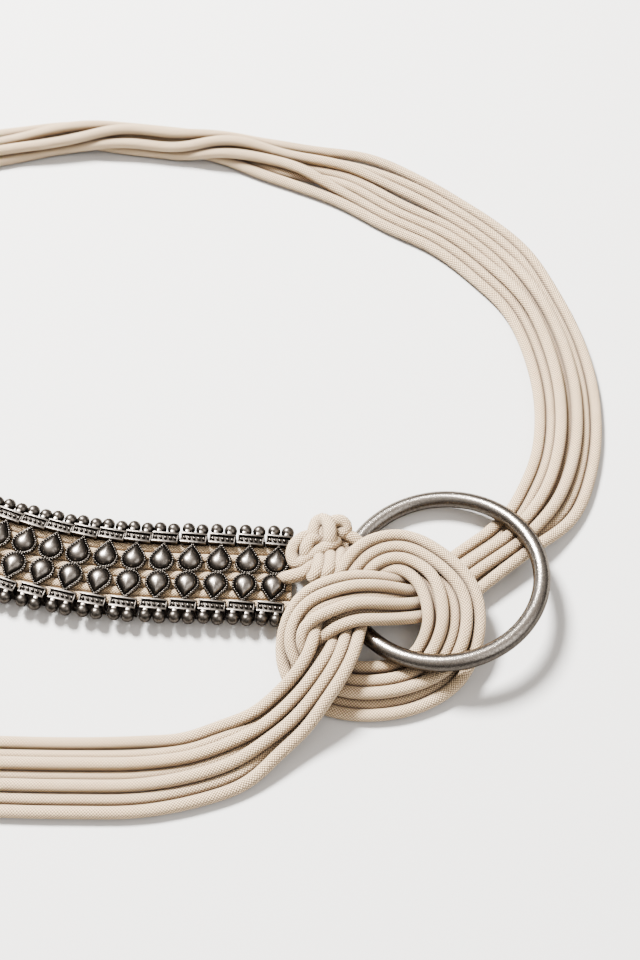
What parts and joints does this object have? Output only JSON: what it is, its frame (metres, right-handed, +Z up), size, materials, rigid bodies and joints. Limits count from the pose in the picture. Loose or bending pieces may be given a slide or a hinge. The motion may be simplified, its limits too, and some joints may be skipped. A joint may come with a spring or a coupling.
{
  "type": "wrap belt",
  "caption": "Wrap belt of a cast link plaque on cords, with a bundle of long braided cords that closes the waist loop and is knotted through a round ring.",
  "frame": {"origin": "middle of the belt in plan, on the surface that it lies on", "axes": "+X runs the long way of the laid-out belt, from the plaque's far end towards the ring; +Y runs from the free ends towards the far side of the waist loop; +Z is up"},
  "size_m": [0.299, 0.262, 0.0209],
  "materials": {
    "cotton": "braided cotton, matte",
    "aged_silver": "antique silver casting with dark recesses",
    "ring_silver": "brushed antique silver"
  },
  "bodies": {
    "root": {"ring": "ring_silver", "link_01": "aged_silver", "link_02": "aged_silver", "link_03": "aged_silver", "link_04": "aged_silver", "link_05": "aged_silver", "link_06": "aged_silver", "link_07": "aged_silver", "link_08": "aged_silver", "link_09": "aged_silver", "link_10": "aged_silver", "link_11": "aged_silver", "link_12": "aged_silver", "link_13": "aged_silver", "link_14": "aged_silver", "link_15": "aged_silver", "link_16": "aged_silver", "backing_cord_1": "cotton", "backing_cord_2": "cotton", "backing_cord_3": "cotton", "backing_cord_4": "cotton", "backing_cord_5": "cotton", "backing_cord_6": "cotton", "backing_cord_7": "cotton", "end_sleeve": "cotton", "tie_knot": "cotton", "tie_hitch": "cotton", "long_cord_1": "cotton", "long_cord_2": "cotton", "long_cord_3": "cotton", "long_cord_4": "cotton", "long_cord_5": "cotton", "long_cord_6": "cotton", "long_cord_7": "cotton"}
  },
  "joints": []
}
